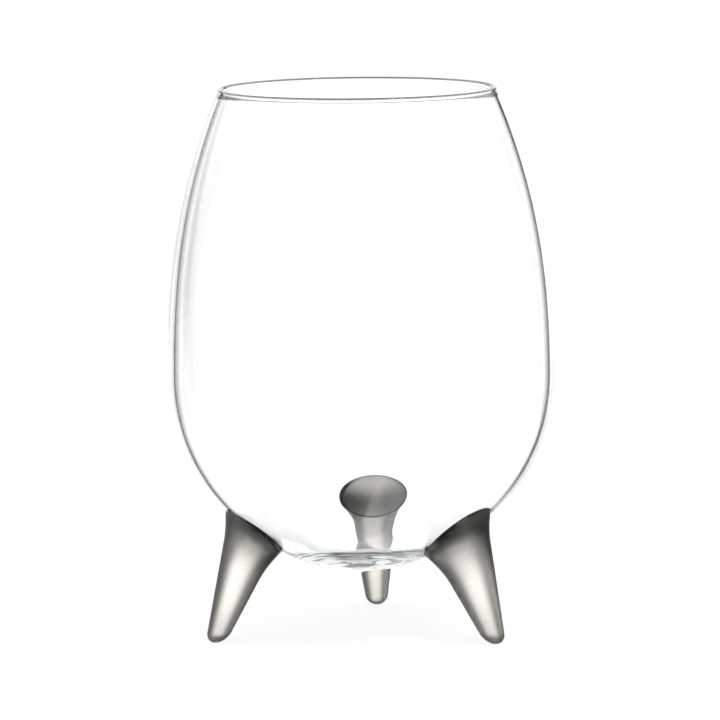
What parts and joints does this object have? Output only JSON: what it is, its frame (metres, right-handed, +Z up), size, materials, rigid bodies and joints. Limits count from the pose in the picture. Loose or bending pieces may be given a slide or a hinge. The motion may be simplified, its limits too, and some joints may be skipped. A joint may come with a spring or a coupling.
{
  "type": "stemless drinking glass",
  "caption": "Clear egg-shaped stemless drinking glass with a rounded rim, standing on splayed tapered legs of frosted glass.",
  "frame": {"origin": "on the table, on the bowl's axis", "axes": "+Z up along the bowl's axis, from the feet to the rim; +Y towards the rear leg; +X to the right of someone who faces the two front legs"},
  "size_m": [0.09, 0.09, 0.1276],
  "materials": {
    "clear_glass": "clear, fire polished",
    "frosted_glass": "solid glass with a sandblasted, satin surface"
  },
  "bodies": {
    "root": {"bowl": "clear_glass", "leg_front_left": "frosted_glass", "leg_front_right": "frosted_glass", "leg_rear": "frosted_glass"}
  },
  "joints": []
}
